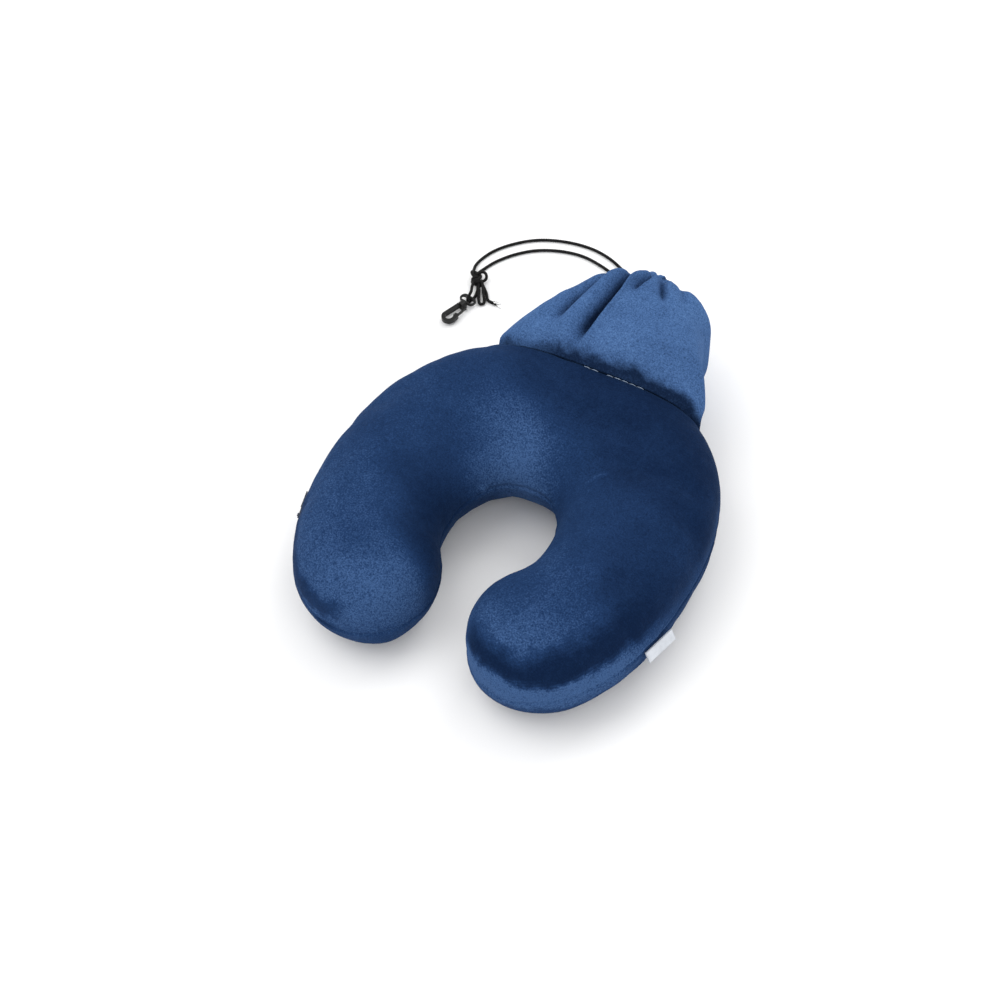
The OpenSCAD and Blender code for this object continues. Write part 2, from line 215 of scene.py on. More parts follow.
def joined(parts):
    """One list of points and faces from several."""
    points, faces, n = [], [], 0
    for p, f in parts:
        points.append(np.asarray(p))
        faces += [[i + n for i in face] for face in f]
        n += len(p)
    return np.concatenate(points), faces


# ---------- materials ----------
class Nodes:
    """Short ways to build a material's nodes."""

    def __init__(self, name):
        self.material = bpy.data.materials.new(name)
        self.material.use_nodes = True
        self.tree = self.material.node_tree
        self.shader = self.tree.nodes["Principled BSDF"]
        self.place = self.tree.nodes.new("ShaderNodeTexCoord").outputs["Object"]

    def add(self, kind, inputs=(), **settings):
        node = self.tree.nodes.new(kind)
        for k, v in settings.items():
            setattr(node, k, v)
        for k, v in dict(inputs).items():
            if isinstance(v, bpy.types.NodeSocket):
                self.tree.links.new(v, node.inputs[k])
            else:
                node.inputs[k].default_value = v
        return node

    def noise(self, size_mm, detail=2.0, rough=0.5, stretch=None):
        """Noise with features of about size_mm."""
        at = self.place
        if stretch:
            at = self.add("ShaderNodeMapping", {"Vector": at, "Scale": stretch}).outputs[0]
        node = self.add("ShaderNodeTexNoise", {
            "Vector": at, "Scale": 1000 / size_mm, "Detail": detail, "Roughness": rough,
        })
        return node.outputs["Fac"]

    def math(self, operation, a, b=0.0, clamp=False):
        return self.add("ShaderNodeMath", {0: a, 1: b}, operation=operation, use_clamp=clamp).outputs[0]

    def remap(self, value, low, high, to_low, to_high):
        return self.add("ShaderNodeMapRange", {
            "Value": value, "From Min": low, "From Max": high, "To Min": to_low, "To Max": to_high,
        }).outputs["Result"]

    def ramp(self, value, stops):
        node = self.add("ShaderNodeValToRGB", {"Fac": value})
        e = node.color_ramp.elements
        while len(e) < len(stops):
            e.new(0.5)
        for element, (at, colour) in zip(e, stops):
            element.position, element.color = at, (*colour, 1)
        return node.outputs["Color"]

    def scaled(self, colour, factor):
        return self.add("ShaderNodeVectorMath", {0: colour, "Scale": factor}, operation="SCALE").outputs[0]

    def finish(self, colour, rough, height=None, bump_mm=0.2, strength=1.0, **sockets):
        self.set("Base Color", colour)
        self.set("Roughness", rough)
        if height is not None:
            bumped = self.add("ShaderNodeBump", {
                "Height": height, "Strength": strength, "Distance": bump_mm * MM,
            })
            self.tree.links.new(bumped.outputs[0], self.shader.inputs["Normal"])
        for k, v in sockets.items():
            self.set(k.replace("_", " "), v)
        return self.material

    def set(self, socket, value):
        if isinstance(value, bpy.types.NodeSocket):
            self.tree.links.new(value, self.shader.inputs[socket])
        else:
            self.shader.inputs[socket].default_value = value


def velour_material(name, dark, middle, light, speckle, bump_mm):
    """Short pile velour. An attribute of the mesh runs from 0, dark, to 1, light: how the pile is brushed,
    together with painted shade and painted highlights.
    """
    n = Nodes(name)
    nap_and_shade = n.add("ShaderNodeAttribute", attribute_name="nap_and_shade").outputs["Fac"]
    clumps = n.noise(5.5, 3, 0.6)
    pile = n.noise(1.25, 2, 0.65)
    fibres = n.noise(0.7, 1)
    # brushed up pile sparkles more than pile that is laid flat, and the speckle is also stronger where
    # painted light makes the colour lighter
    lively = n.remap(nap_and_shade, 0.1, 0.8, 0.22, 1.0)
    shade = n.math("ADD", nap_and_shade, n.remap(clumps, 0.25, 0.75, -0.07, 0.07))
    grain = n.math("MULTIPLY", n.remap(pile, 0.3, 0.7, -speckle, speckle), lively)
    shade = n.math("ADD", shade, grain)
    colour = n.ramp(shade, [(0.0, dark), (0.5, middle), (1.0, light)])
    colour = n.scaled(colour, n.remap(fibres, 0.25, 0.75, 0.82, 1.2))
    height = n.math("ADD", n.math("MULTIPLY", clumps, 0.55), n.math("MULTIPLY", pile, 0.45))
    return n.finish(
        colour, 0.85, height, bump_mm, 0.8,
        Sheen_Weight=0.08, Sheen_Roughness=0.4, Sheen_Tint=(0.2, 0.4, 0.85, 1), Specular_IOR_Level=0.03,
    )


def woven_material(name, colour, thread_mm, rough=0.7, weave_shade=0.25, sheen=0.1):
    """A plain weave of threads at right angles, with painted shade between the threads and painted
    highlights on their tops.
    """
    n = Nodes(name)
    waves = []
    for axis in ("X", "Y", "Z"):
        w = n.add("ShaderNodeTexWave", {
            "Vector": n.place, "Scale": 1000 / thread_mm / 6.3, "Distortion": 0.6, "Detail": 1.0,
        }, bands_direction=axis)
        waves.append(w.outputs["Fac"])
    height = n.math("MULTIPLY", n.math("MAXIMUM", waves[0], waves[1]), waves[2])
    height = n.math("MAXIMUM", height, n.math("MULTIPLY", waves[0], waves[1]))
    uneven = n.remap(n.noise(6, 2), 0.3, 0.7, 0.92, 1.06)
    # painted shade and highlight: darker where the weave is low, lighter on the threads' tops
    tone = n.math("MULTIPLY", n.remap(height, 0, 1, 1 - weave_shade, 1 + weave_shade * 0.4), uneven)
    base = n.add("ShaderNodeRGB")
    base.outputs[0].default_value = (*colour, 1)
    return n.finish(n.scaled(base.outputs[0], tone), rough, height, thread_mm * 0.3, 0.7,
                    Sheen_Weight=sheen, Sheen_Roughness=0.5, Specular_IOR_Level=0.25)


def plain_material(name, colour, rough, grain_mm, bump_mm, vary=0.12, **sockets):
    """Moulded or enamelled stuff with a fine grain and uneven polish."""
    n = Nodes(name)
    grain = n.noise(grain_mm, 3, 0.6)
    patch = n.noise(grain_mm * 14, 2)
    base = n.add("ShaderNodeRGB")
    base.outputs[0].default_value = (*colour, 1)
    tone = n.remap(patch, 0.3, 0.7, 1 - vary, 1 + vary)
    gloss = n.remap(patch, 0.3, 0.7, rough * 0.85, min(1, rough * 1.15))
    return n.finish(n.scaled(base.outputs[0], tone), gloss, grain, bump_mm, 0.6, **sockets)


def make_materials():
    blue = dict(speckle=0.36, bump_mm=1.1)
    return {
        "velour": velour_material(
            "velour", (0.0035, 0.0120, 0.040), (0.0120, 0.0345, 0.100), (0.042, 0.092, 0.215), **blue),
        "pouch_velour": velour_material(
            "pouch_velour", (0.006, 0.016, 0.046), (0.045, 0.100, 0.235), (0.088, 0.178, 0.37), **blue),
        "cord": plain_material(
            "braided_cord", (0.0045, 0.0043, 0.0045), 0.7, 0.35, 0.12, Specular_IOR_Level=0.2),
        "plastic": plain_material(
            "moulded_plastic", (0.0035, 0.0035, 0.0038), 0.36, 0.7, 0.03, Specular_IOR_Level=0.3),
        "metal": plain_material("enamelled_metal", (0.035, 0.045, 0.07), 0.30, 0.6, 0.02, Metallic=0.6),
        "teeth": plain_material("nylon_teeth", (0.020, 0.033, 0.07), 0.42, 0.5, 0.03),
        "tape": woven_material("zip_tape", (0.014, 0.026, 0.065), 0.5),
        "label": woven_material("label_tape", (0.60, 0.63, 0.68), 0.32, 0.55, 0.10, 0.0),
        "thread": woven_material("thread", (0.33, 0.42, 0.56), 0.4, 0.6, 0.2),
        "foam": plain_material("foam", (0.80, 0.76, 0.60), 0.9, 1.1, 0.4),
        "liner": woven_material("liner", (0.82, 0.82, 0.80), 0.6, 0.9, 0.12),
    }


# ---------- cords ----------
CORD_D = 2.5
FLOOR_Z = 1.5
OUTER_RUN = [
    (-13.8, 183.4, 61.2), (-15, 185.5, 58.8), (-16.5, 190.5, 57), (-19, 195, 48), (-23, 201, 33),
    (-27, 208, 18), (-31, 217, 6), (-38, 229, FLOOR_Z), (-49, 242, FLOOR_Z), (-62, 252, FLOOR_Z),
    (-80, 260, FLOOR_Z), (-100, 263, FLOOR_Z), (-122, 260, FLOOR_Z), (-142, 252, FLOOR_Z),
    (-158, 239, FLOOR_Z), (-169, 224, FLOOR_Z), (-174, 208, FLOOR_Z), (-172, 197, 3),
    (-167.8, 191.8, 5.0),
]
INNER_RUN = [
    (-10.7, 183.4, 53.7), (-12.2, 185.5, 54.8), (-13, 190.5, 53.5), (-14.5, 194.5, 46), (-16.5, 199, 33),
    (-19.5, 205, 17), (-26, 213, 5), (-36, 222, FLOOR_Z), (-49, 234, FLOOR_Z), (-64, 243, FLOOR_Z),
    (-81, 249, FLOOR_Z), (-100, 252, FLOOR_Z), (-119, 249, FLOOR_Z), (-137, 241, FLOOR_Z),
    (-151, 229, FLOOR_Z), (-161, 215, FLOOR_Z), (-166, 203, FLOOR_Z), (-167, 196, 3),
    (-165, 190.5, 5.2),
]
BIGHT = [
    (-164, 184, 6), (-162, 177, 8), (-159.5, 171, 8.6), (-159, 167, 8.2), (-159.4, 164.6, 6),
    (-159.4, 164.4, 4), (-159.2, 164.9, 1.9), (-158.4, 168, 1.3), (-157.5, 173, 1.3),
    (-158.5, 179, 2.5), (-161, 184, 4.5),
]
TAIL = [(-158, 186, 4), (-151, 180, 2.5), (-146, 174, FLOOR_Z), (-141, 173, FLOOR_Z)]
KNOT_AT = np.array((-164, 190, 5.6))
KNOT_SIZE, KNOT_DEPTH = 2.35, 2.3
# a free loop of cord pulled out of the knot
SPARE_LOOP = [
    (-159, 187, 6.5), (-155, 182, 6), (-151, 176, 3.5), (-148, 171.5, 1.8), (-147.5, 168.5, 1.5),
    (-150, 167.5, 1.6), (-153, 171, 2), (-156, 177, 3.6), (-160, 184, 6),
]
# below the knot the cord is wound round its own strands
WRAP_START, WRAP_END = np.array((-165.8, 188.0, 5.0)), np.array((-159.0, 182.9, 5.0))
WRAP_TURNS, WRAP_R = 3.1, 2.5
TUBE_SIDES, TUBE_STEP = 20, 0.5
FRAY_FIBRES, FIBRE_R = 26, 0.13


def braid(angle, s):
    """Radius of a round braid, at an angle and a distance along it."""
    r = CORD_D / 2
    lay = 2 * s / r
    over = np.maximum(np.abs(np.cos(2 * angle + lay)), np.abs(np.cos(2 * angle - lay)))
    return r * (0.86 + 0.15 * over)


def route_line(points, step_mm=TUBE_STEP):
    return spaced(catmull(points, np.linspace(0, len(points) - 1, len(points) * 40)), step_mm)


def cord_piece(name, line, material, extra=()):
    piece = mesh_object(name, *joined([tube_mesh(line, braid, TUBE_SIDES), *extra]))
    piece.data.materials.append(material)
    return piece


def frayed_end(at, towards, rng):
    """Loose fibres at a cut end of cord."""
    fibres = []
    for _ in range(FRAY_FIBRES):
        start = at + rng.normal(0, 0.45, 3)
        out = towards + rng.normal(0, 0.32, 3)
        long = rng.uniform(2.2, 6.0)
        bend = rng.normal(0, 0.7, 3)
        t = np.linspace(0, 1, 6)[:, None]
        line = start + out * long * t + bend * t * t * 1.4
        line[:, 2] = np.maximum(line[:, 2], 0.15)
        fibres.append(tube_mesh(line, lambda a, s: np.full(len(a), FIBRE_R), 5))
    return fibres


def wrap_line():
    """A coil round the line from WRAP_START to WRAP_END."""
    axis = WRAP_END - WRAP_START
    side = np.cross(axis, (0, 0, 1))
    side /= np.linalg.norm(side)
    turn = np.linspace(0, 1, 200)[:, None]
    angle = turn * WRAP_TURNS * 2 * math.pi - math.pi / 2
    loose = WRAP_R + 0.3 * np.sin(angle * 0.37)
    return WRAP_START + axis * turn + loose * (np.cos(angle) * side + np.sin(angle) * np.array((0, 0, 1)))


def make_cords(material):
    knot_turn = np.radians(np.linspace(12, 348, 150))
    knot_line = KNOT_AT + np.stack([
        KNOT_SIZE * (np.sin(knot_turn) + 2 * np.sin(2 * knot_turn)),
        KNOT_SIZE * (np.cos(knot_turn) - 2 * np.cos(2 * knot_turn)),
        -KNOT_DEPTH * np.sin(3 * knot_turn),
    ], 1)
    loop = tube_mesh(route_line(SPARE_LOOP), braid, TUBE_SIDES)
    wraps = tube_mesh(spaced(wrap_line(), TUBE_STEP), braid, TUBE_SIDES)
    knot = cord_piece("cord_knot_braid", spaced(knot_line, TUBE_STEP), material, [loop, wraps])
    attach(knot, "pillow")
    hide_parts("cord_knot")
    bight = cord_piece("cord_bight_braid", route_line(BIGHT), material)
    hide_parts("cord_bight")
    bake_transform(bight)
    tail_line = route_line(TAIL)
    end_dir = tail_line[-1] - tail_line[-4]
    fibres = frayed_end(tail_line[-1], end_dir / np.linalg.norm(end_dir), np.random.default_rng(7))
    tail = cord_piece("cord_tail_braid", tail_line, material, fibres)
    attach(tail, "pillow")
    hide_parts("cord_tail")
    for name, node, route, extras in (
        ("drawstring_outer", "drawstring_outer_run", OUTER_RUN,
         [knot, bight, tail, "swivel_eye", "snap_hook", "hook_gate"]),
        ("drawstring_inner", "drawstring_inner_run", INNER_RUN, [knot]),
    ):
        line = route_line(route)
        run = cord_piece(name, line, material)
        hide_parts(node)
        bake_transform(run)


# ---------- the U surface ----------
NECK = np.array((0, -62.0, 0))                    # the middle of the neck space
SEAM_Y = 147                                      # the pouch's seam, from there
SPINE_X, SPINE_BACK, SPINE_FRONT = 95, 109, 108
CURL = 134
OUTER, INNER, TOP = (63, 54), (66, 56), (87, 90)   # at the back, and on the lobes
SEAM_Z, SEAM_DIP = 46, 7
ROUND_OUT, ROUND_UP = 0.88, 0.75            # of the section's upper half
ROUND_OUT_LOW, ROUND_UP_LOW = 1.12, 0.92    # of its lower half
BASE_FLAT = 3


def signed_pow(v, p):
    return np.sign(v) * np.abs(v) ** p


def spine_r(a):
    s, c = np.abs(np.sin(a)), np.cos(a)
    n = np.where(c > 0, 2.5, 2.2)
    y = np.where(c > 0, SPINE_BACK, SPINE_FRONT)
    return ((s / SPINE_X) ** n + (np.abs(c) / y) ** n) ** (-1 / n)


def lobe_share(a):
    return (1 - np.cos(np.pi * np.clip(np.abs(np.degrees(a)) / CURL / 0.75, 0, 1))) / 2


def outer_w(a):
    return OUTER[0] + (OUTER[1] - OUTER[0]) * lobe_share(a)


def inner_w(a):
    corner = np.where(np.abs(a) < np.pi / 2, 6 * np.sin(2 * a) ** 2, 0)
    return INNER[0] + (INNER[1] - INNER[0]) * lobe_share(a) + corner


def u_point(a, f, e, inset=0.0):
    """Points of the pillow's surface, as in the CAD model: curl, section and end angles in radians."""
    a, f, e = np.broadcast_arrays(np.asarray(a, float), f, e)
    below = np.sin(f) < 0
    c = signed_pow(np.cos(f), np.where(below, ROUND_OUT_LOW, ROUND_OUT))
    s = signed_pow(np.sin(f), np.where(below, ROUND_UP_LOW, ROUND_UP))
    small = np.maximum(0.02, np.cos(e))
    low = small ** 0.65
    ow, iw, share = outer_w(a), inner_w(a), lobe_share(a)
    across = np.where(c > 0, ow - inset, iw - inset) * c * small
    top = TOP[0] + (TOP[1] - TOP[0]) * share
    fall = 0.19 * (1 - share) * top * ((1 - c) / 2) ** 1.5 * np.sqrt(np.maximum(0, s))
    z = np.where(s > 0, s * (top - SEAM_Z - inset) - fall, s * (SEAM_Z + BASE_FLAT - inset))
    z = np.maximum(inset, SEAM_Z + low * z)
    past = np.sign(a) * np.sin(e) * ((ow + iw) * 0.525 - inset)
    r = spine_r(a) + across
    return NECK + np.stack([np.sin(a) * r + np.cos(a) * past, np.cos(a) * r - np.sin(a) * past, z], -1)


def u_grid(rings, end_rings, around, inset=0.0):
    """The whole surface as a grid: its points, and each point's three angles."""
    body = np.linspace(-CURL, CURL, rings)
    ends = np.linspace(0, 90, end_rings + 1)[1:]
    a = np.radians(np.concatenate([np.full(end_rings, -CURL), body, np.full(end_rings, CURL)]))
    e = np.radians(np.concatenate([ends[::-1], np.zeros(rings), ends]))
    f = np.linspace(0, 2 * np.pi, around, endpoint=False)
    A, F = np.meshgrid(a, f, indexing="ij")
    E, _ = np.meshgrid(e, f, indexing="ij")
    points = u_point(A, F, E, inset)
    return points.reshape(-1, 3), np.stack([A.ravel(), F.ravel(), E.ravel()], 1), len(a)


# ---------- pillow ----------
PILLOW_SIDES, FILLING_SIDES = 96, 64         # points round a section
COVER_INSET = 0.9                            # leaves room for the cloth to swell
REMESH_MM, SWELL_CAP = 4.5, 4.0
SWELL_PRESSURE, SWELL_FRAMES, CLOTH_SPARE = 4, 20, 0.012
ZIP_CENTRE, ZIP_R = np.array((95, -55.0)), 245


def inflate(o, pressure, frames, cap_mm, pinned, larger):
    """Swells a closed mesh as cloth under pressure. It is held where pinned is 1, and the cloth is
    cut larger by a fraction. No point moves further than cap_mm."""
    rest = coords(o)
    group = o.vertex_groups.new(name="pin")
    for i in np.flatnonzero(pinned > 0.05):
        group.add([int(i)], float(pinned[i]), "REPLACE")
    m = o.modifiers.new("Cloth", "CLOTH")
    c = m.settings
    c.quality = 5
    c.mass = 0.3
    c.tension_stiffness = c.compression_stiffness = 15
    c.shear_stiffness = 5
    c.bending_stiffness = 0.5
    c.shrink_min = -larger
    c.use_pressure = True
    c.uniform_pressure_force = pressure
    c.effector_weights.gravity = 0
    c.vertex_group_mass = "pin"
    for f in range(1, frames + 1):
        scene.frame_set(f)
    apply_modifiers(o)
    scene.frame_set(1)
    o.vertex_groups.clear()
    move = coords(o) - rest
    far = np.linalg.norm(move, axis=1)
    move *= (np.minimum(far, cap_mm) / np.maximum(far, 1e-6))[:, None]
    set_coords(o, rest + move)


# how the pile lies on the top of the pillow, with painted shade and painted light mixed in: [x, y, shade],
# where 0 is dark and 1 is light
TOP_NAP_AND_SHADE = [
    (-59, -172, 0.82), (-98, -160, 0.74), (-74, -135, 0.53), (-114, -70, 0.46), (-90, -36, 0.44),
    (-63, -62, 0.16), (-46, -92, 0.06), (-92, -112, 0.56), (-72, 37, 0.42), (-110, -8, 0.46),
    (-34, 52, 0.12), (-52, -22, 0.30), (-38, 12, 0.72), (-14, -2, 1.0), (-24, -16, 0.92), (8, 24, 0.34),
    (20, 57, 0.06), (69, 59, 0.02), (30, -2, 0.42), (78, 8, 0.12), (52, 28, 0.12), (86, -54, 0.38),
    (60, -36, 0.42), (122, 1, 0.06), (112, -48, 0.20), (75, -110, 0.50), (97, -137, 0.54),
    (60, -165, 0.80), (88, -168, 0.72), (42, -128, 0.46), (132, -90, 0.12), (-128, -110, 0.60),
]


NAP_AND_SHADE_SPREAD = 17    # how far one of them reaches


def pillow_nap_and_shade(angles, p):
    """Which way the pile is brushed over the pillow, with painted shade and painted highlights, from 0,
    dark, to 1, light.
    """
    a, e = np.degrees(angles[:, 0]), np.degrees(angles[:, 2])
    total, weight = np.zeros(len(p)), np.full(len(p), 1e-9)
    warp = 8 * np.stack([lattice_noise(p, 30, 7), lattice_noise(p, 30, 8)], 1)
    for x, y, shade in TOP_NAP_AND_SHADE:
        away = (p[:, 0] + warp[:, 0] - x) ** 2 + (p[:, 1] + warp[:, 1] - y) ** 2
        w = np.exp(-away / (2 * NAP_AND_SHADE_SPREAD**2))
        total += w * shade
        weight += w
    nap_and_shade = total / weight
    # below the top the pillow takes one even tone, except the inner wall at the back of the neck space,
    # which faces the lamps and is painted light
    side = 1 - step(p[:, 2], 20, 62)
    lit_back_wall = bump(a, -6, 26) * step(p[:, 1], -60, -36) * (np.cos(angles[:, 1]) < 0)
    nap_and_shade = nap_and_shade + (0.36 + 0.54 * lit_back_wall - nap_and_shade) * side
    nap_and_shade += 0.05 * lattice_noise(p, 40, 3) + 0.05 * lattice_noise(p, 15, 4)
    ragged = 4.0 * lattice_noise(p, 16, 5) + 3.5 * lattice_noise(p, 6, 6) + 1.5 * lattice_noise(p, 2.5, 9)
    # where the top turns down round each lobe: a dark band, with a lighter strip outside it
    across = signed_pow(np.cos(angles[:, 1]), ROUND_OUT) * np.cos(angles[:, 2])
    rim = np.degrees(np.arcsin(np.clip(np.sqrt(across**2 + np.sin(angles[:, 2]) ** 2), 0, 1))) + ragged
    upper = step(p[:, 2], SEAM_Z - 14, SEAM_Z - 2)
    right, left = a > 0, a <= 0
    outer = step(across, 0.0, 0.5)
    at_tip = step(e, 12, 40)
    where = np.where(right, np.maximum(outer * step(a, 88, 112), at_tip * step(across, -0.5, 0.1)), 0)
    inner = 57 - 9 * outer * (1 - step(e, 5, 40))
    band = step(rim, inner - 17, inner + 7) * (1 - step(rim, 69, 84)) * where * upper
    nap_and_shade -= 0.58 * band * nap_and_shade / 0.6
    light = step(rim, 72, 82) * where * step(p[:, 2], SEAM_Z - 26, SEAM_Z - 12)
    nap_and_shade += 0.32 * light
    where = np.where(left, outer * step(-a, 84, 128) * (1 - step(e, 40, 66)), 0)
    band = step(rim, 60, 74) * (1 - step(rim, 82, 89)) * np.clip(where, 0, 1) * upper
    nap_and_shade -= 0.52 * band
    # the right side catches light over its seam, and so do the wrinkles by the neck
    nap_and_shade += 0.22 * right * outer * bump(p[:, 2], 52, 6) * step(a, 36, 50)
    nap_and_shade += 0.40 * right * outer * bump(p[:, 2], SEAM_Z + 1.6, 1.1) * step(a, 40, 60)
    for start, end, width, _ in STREAKS:
        nap_and_shade += 0.26 * streak(p, start, end, width)
    return np.clip(nap_and_shade, 0.0, 1.0)


# small wrinkles that fan out from the back right corner of the neck space: ends, width, height
STREAKS = [
    ((37, -15, 68), (27, -24, 42), 1.7, 0.9), ((49, -9, 78), (38, -19, 62), 1.5, 0.7),
    ((30, -11, 66), (21, -19, 44), 1.4, 0.6), ((42, -26, 66), (33, -32, 46), 1.6, 0.7),
    ((-33, -38, 62), (-30, -34, 44), 1.8, 0.6), ((58, -2, 82), (46, -8, 74), 1.6, 0.5),
]


def streak(p, start, end, width):
    """1 on the line between two points, fading to 0 over the width, and at both ends."""
    a, b = np.array(start, float), np.array(end, float)
    t = np.clip((p - a) @ (b - a) / ((b - a) @ (b - a)), 0, 1)
    far = np.linalg.norm(p - a - t[:, None] * (b - a), axis=1)
    return bump(far, 0, width) * step(np.sin(np.pi * t), 0, 0.5)


def zip_groove(p, depth=4.2):
    """Draws the cover in round the zip, so that the zip shows at the bottom of a groove."""
    d = p[:, :2] - ZIP_CENTRE
    r, turn = np.linalg.norm(d, axis=1), np.degrees(np.arctan2(d[:, 1], d[:, 0])) % 360
    along = step(turn, 163.2, 165.2) * (1 - step(turn, 194.8, 196.8))
    high = 1 - step(np.abs(p[:, 2] - SEAM_Z), 4.6, 8.0)
    inside = r - np.minimum(r, ZIP_R - depth)
    pull = inside * along * high * (r > ZIP_R - 25)
    p[:, :2] -= d / r[:, None] * pull[:, None]
    return p


def seam_level(angles):
    """Height of the seam between the covers, a little lower round the tips of the lobes."""
    return SEAM_Z - SEAM_DIP * step(np.degrees(angles[:, 2]), 8, 55)


def make_filling(materials):
    """The foam and its liner, which only show if the cover is taken off."""
    for name, node, slot, inset, groove in (
        ("foam_block", "foam_core", "foam", 7.0, 7.4),
        ("liner_sleeve", "foam_liner", "liner", 5.8, 6.2),
    ):
        points, _, rows = u_grid(90, 12, FILLING_SIDES, inset)
        faces = grid_faces(rows, FILLING_SIDES) + end_caps(len(points), FILLING_SIDES)
        o = mesh_object(name, zip_groove(points, groove), faces)
        o.data.materials.append(materials[slot])
        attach(o, "pillow")
        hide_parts(node)


def make_pillow(material):
    points, angles, rows = u_grid(210, 26, PILLOW_SIDES, COVER_INSET)
    faces = grid_faces(rows, PILLOW_SIDES) + end_caps(len(points), PILLOW_SIDES)
    pillow = mesh_object("pillow_cover", points, faces)
    m = pillow.modifiers.new("Remesh", "REMESH")
    m.mode, m.voxel_size = "VOXEL", REMESH_MM * MM
    apply_modifiers(pillow)
    p = coords(pillow)
    pinned = bump(p[:, 2], SEAM_Z, 4) + bump(p[:, 1], SEAM_Y + NECK[1], 4) * (p[:, 2] > SEAM_Z)
    pinned += 1 - step(p[:, 2], 2, 8)
    inflate(pillow, SWELL_PRESSURE, SWELL_FRAMES, SWELL_CAP, np.clip(pinned, 0, 1), CLOTH_SPARE)
    m = pillow.modifiers.new("Smooth", "SMOOTH")
    m.factor, m.iterations = 0.5, 6
    apply_modifiers(pillow)
    subdivide(pillow, 2)
    # each point takes the angles of the nearest point of the formula's surface
    tree = KDTree(len(points))
    for i, p in enumerate(points):
        tree.insert(p, i)
    tree.balance()
    p = coords(pillow)
    angles = angles[[tree.find(q)[1] for q in p]]
    out = normals(pillow)
    # the seam between the two covers, a shallow valley with small puckers
    level = seam_level(angles)
    pucker = lattice_noise(p * (1, 1, 0.25), 6.5, 11)
    p -= out * ((1.4 + 0.5 * pucker) * bump(p[:, 2], level, 1.2))[:, None]
    p += out * ((0.45 + 0.5 * pucker) * bump(p[:, 2], level, 6))[:, None]
    # the pouch's seam: the cover rolls over it
    seam_y = SEAM_Y + NECK[1] + 0.8 * lattice_noise(p, 12, 12)
    on_seam = step(p[:, 2], 38, 50) * (1 - step(np.abs(p[:, 0]), 86, 92)) * (p[:, 1] > 0)
    p[:, 2] -= 2.6 * bump(p[:, 1], seam_y + 1.5, 1.8) * on_seam
    p[:, 2] += 0.9 * bump(p[:, 1], seam_y - 4.5, 4.0) * on_seam
    for start, end, width, height in STREAKS:
        p += out * (height * streak(p, start, end, width))[:, None]
    # soft unevenness of the cover over the foam
    p += out * (0.7 * lattice_noise(p, 46, 1) + 0.22 * lattice_noise(p, 14, 2))[:, None]
    p = zip_groove(p)
    p[:, 2] = np.maximum(p[:, 2], 0.0)
    set_coords(pillow, p)
    set_attribute(pillow, "nap_and_shade", pillow_nap_and_shade(angles, p))
    pillow.data.materials.clear()
    pillow.data.materials.append(material)
    pillow.data.polygons.foreach_set("use_smooth", [True] * len(pillow.data.polygons))
    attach(pillow, "pillow")
    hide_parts("cover_top", "cover_bottom")
    return pillow


# ---------- pouch ----------
# sections from the seam to the mouth: [y, z] of the top and the bottom, and x of both sides
POUCH_TOP = [(149, 84.5), (158, 94), (176, 101), (200, 103), (222, 103), (237, 99), (241, 88)]
POUCH_LOW = [(149.5, 82.5), (162, 77), (172, 66), (177, 34), (190, 2), (222, 0), (239, 42)]
POUCH_LEFT = [-84, -81, -75, -68, -61, -50, -19]
POUCH_RIGHT = [89, 87, 80, 70, 62, 57, 28]
POUCH_ROWS, POUCH_SIDES = 150, 320
MOUTH = NECK + (4, 240, 64)
# [radius, distance behind the mouth] round the hem, from outside to inside
HEM = [
    (22.5, 1), (24, 3.5), (24.3, 6.5), (22.5, 9.8), (18.5, 11), (15, 10), (14, 7), (14.2, 3), (15, -1),
    (17, -5),
]
# folds in the top of the pouch: [x, y] points from the mouth, depth, width, and how much steeper
# the right side of the fold is
FOLDS = [
    ([(-24, 180), (-29, 163), (-39, 131), (-48, 96)], 13.0, 6.6, 1.9),
    ([(-9, 182), (-11, 165), (-13, 141), (-17, 110), (-23, 82)], 18.0, 6.2, 2.2),
    ([(8, 181), (5, 173), (1, 161), (-2, 148)], 8.0, 3.6, 1.6),
    ([(14, 181), (15.5, 171), (21, 160), (28, 148)], 7.0, 3.0, 1.0),
    ([(28, 178), (35, 169), (43, 157)], 3.0, 3.4, 1.0),
    ([(-38, 172), (-46, 156), (-55, 134)], 2.0, 6.0, 1.0),
]


def seam_height(a):
    """Height of the pillow's surface on the pouch's seam, at angle a from the back."""
    c = np.clip((SEAM_Y / np.cos(a) - spine_r(a)) / outer_w(a), 0, 1)
    return u_point(a, np.arccos(c ** (1 / ROUND_OUT)), 0 * a)[..., 2]


def pouch_point(t, f):
    """Points of the pouch's plain surface. f = 90 degrees is the top."""
    top, low = catmull(POUCH_TOP, t), catmull(POUCH_LOW, t)
    mid, up = (top + low) / 2, (top - low) / 2
    left, right = catmull(POUCH_LEFT, t), catmull(POUCH_RIGHT, t)
    boxy = step(np.cos(f), -0.2, 0.4)
    boxy = boxy * (1 + 0.8 * step(t, 3, 5))
    c = signed_pow(np.cos(f), 1.0 - 0.26 * boxy)
    s = signed_pow(np.sin(f), 0.92 - 0.12 * boxy)
    x = (left + right) / 2 + (right - left) / 2 * c
    side = seam_height(np.arctan(x / SEAM_Y)) - seam_height(np.zeros(1))
    sewn = np.clip(1 - t / 2.5, 0, 1)
    # both edges hang a little beside the seam, the left one more
    hang = step(t, 0, 0.9) * c**4 * np.where(c < 0, 11 * bump(t, 1.8, 1.2), 9 * bump(t, 1.4, 1.0))
    z = mid[:, 1] + up[:, 1] * s + side * sewn - hang
    return NECK + np.stack([x, mid[:, 0] + up[:, 0] * s, np.maximum(0, z)], -1)


